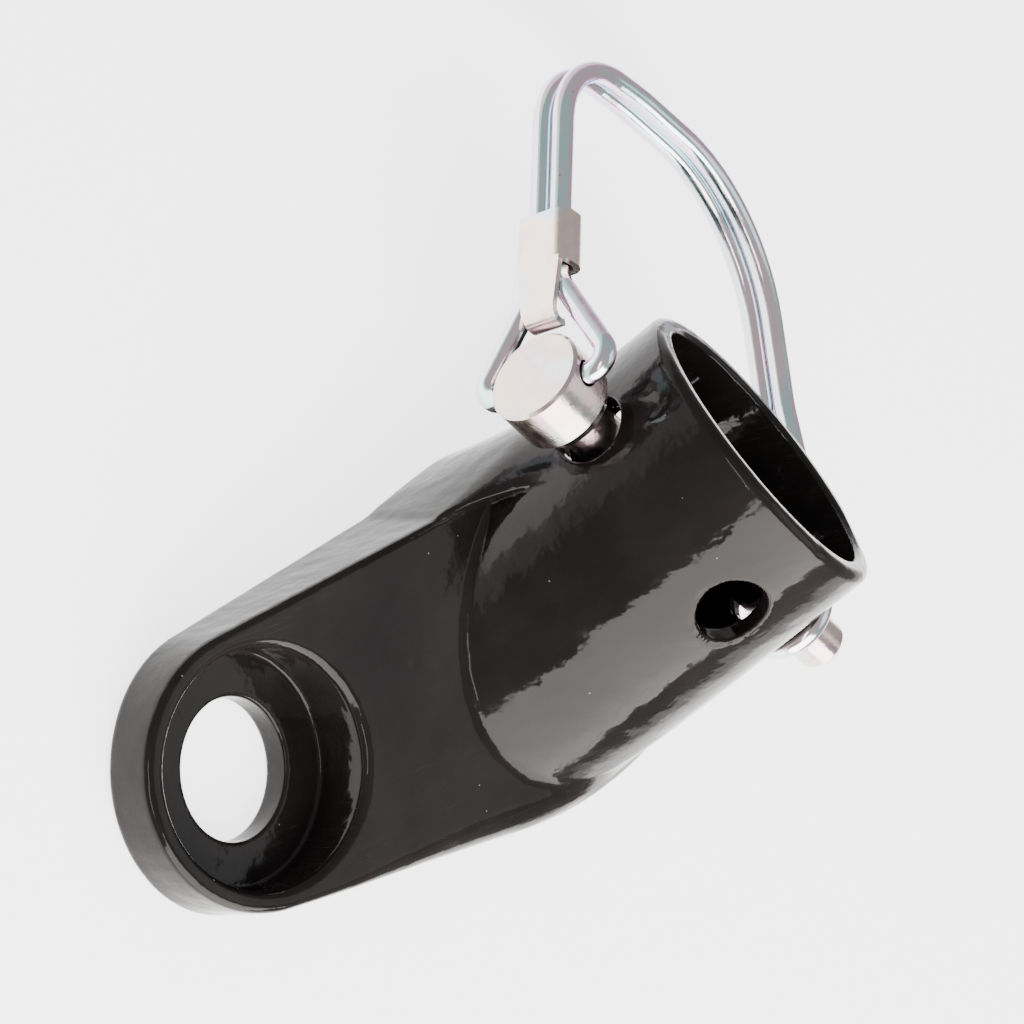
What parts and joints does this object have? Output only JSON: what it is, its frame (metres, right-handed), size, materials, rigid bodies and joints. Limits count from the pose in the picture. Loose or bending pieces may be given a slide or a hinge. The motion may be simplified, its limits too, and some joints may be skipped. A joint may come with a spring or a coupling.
{
  "type": "trailer coupler lock",
  "caption": "Angled trailer coupler: a flat lug with an axle hole carries a tilted round socket, held by a removable cross pin with a wire bail.",
  "frame": {"origin": "centre of the axle hole, in the plane of the lug's flat back", "axes": "+Z along the axle hole, out through the nut seat; +X along the lug towards the socket; +Y completes the right-handed frame"},
  "size_m": [0.1053, 0.0785, 0.0435],
  "materials": {
    "black_paint": "thick gloss black paint over a casting",
    "zinc_pin": "bright zinc plate, turned, faint rainbow passivation",
    "zinc_wire": "bright zinc plate on drawn wire, pink and green passivation",
    "zinc_clip": "bright zinc plate on folded sheet"
  },
  "bodies": {
    "coupler": {"coupler_body": "black_paint"},
    "pin": {"lock_pin": "zinc_pin"},
    "bail": {"bail_wire": "zinc_wire", "bail_clip": "zinc_clip"}
  },
  "joints": [
    {"name": "pin_slide", "type": "slide", "parent": "coupler", "child": "pin", "axis": [-0.6635, 0.7481, 0.0153], "range_m": [0, 0.052]},
    {"name": "bail_swing", "type": "hinge", "parent": "pin", "child": "bail", "pos_m": [0.03855, 0.02957, 0.02362], "axis": [0.1965, 0.1545, 0.9683], "range_deg": [0, 165], "deforming": ["bail_wire"]}
  ],
  "couplings": [
    {"joint": "pin_slide", "follows": "bail_swing", "m_per_rad": 0.018}
  ]
}
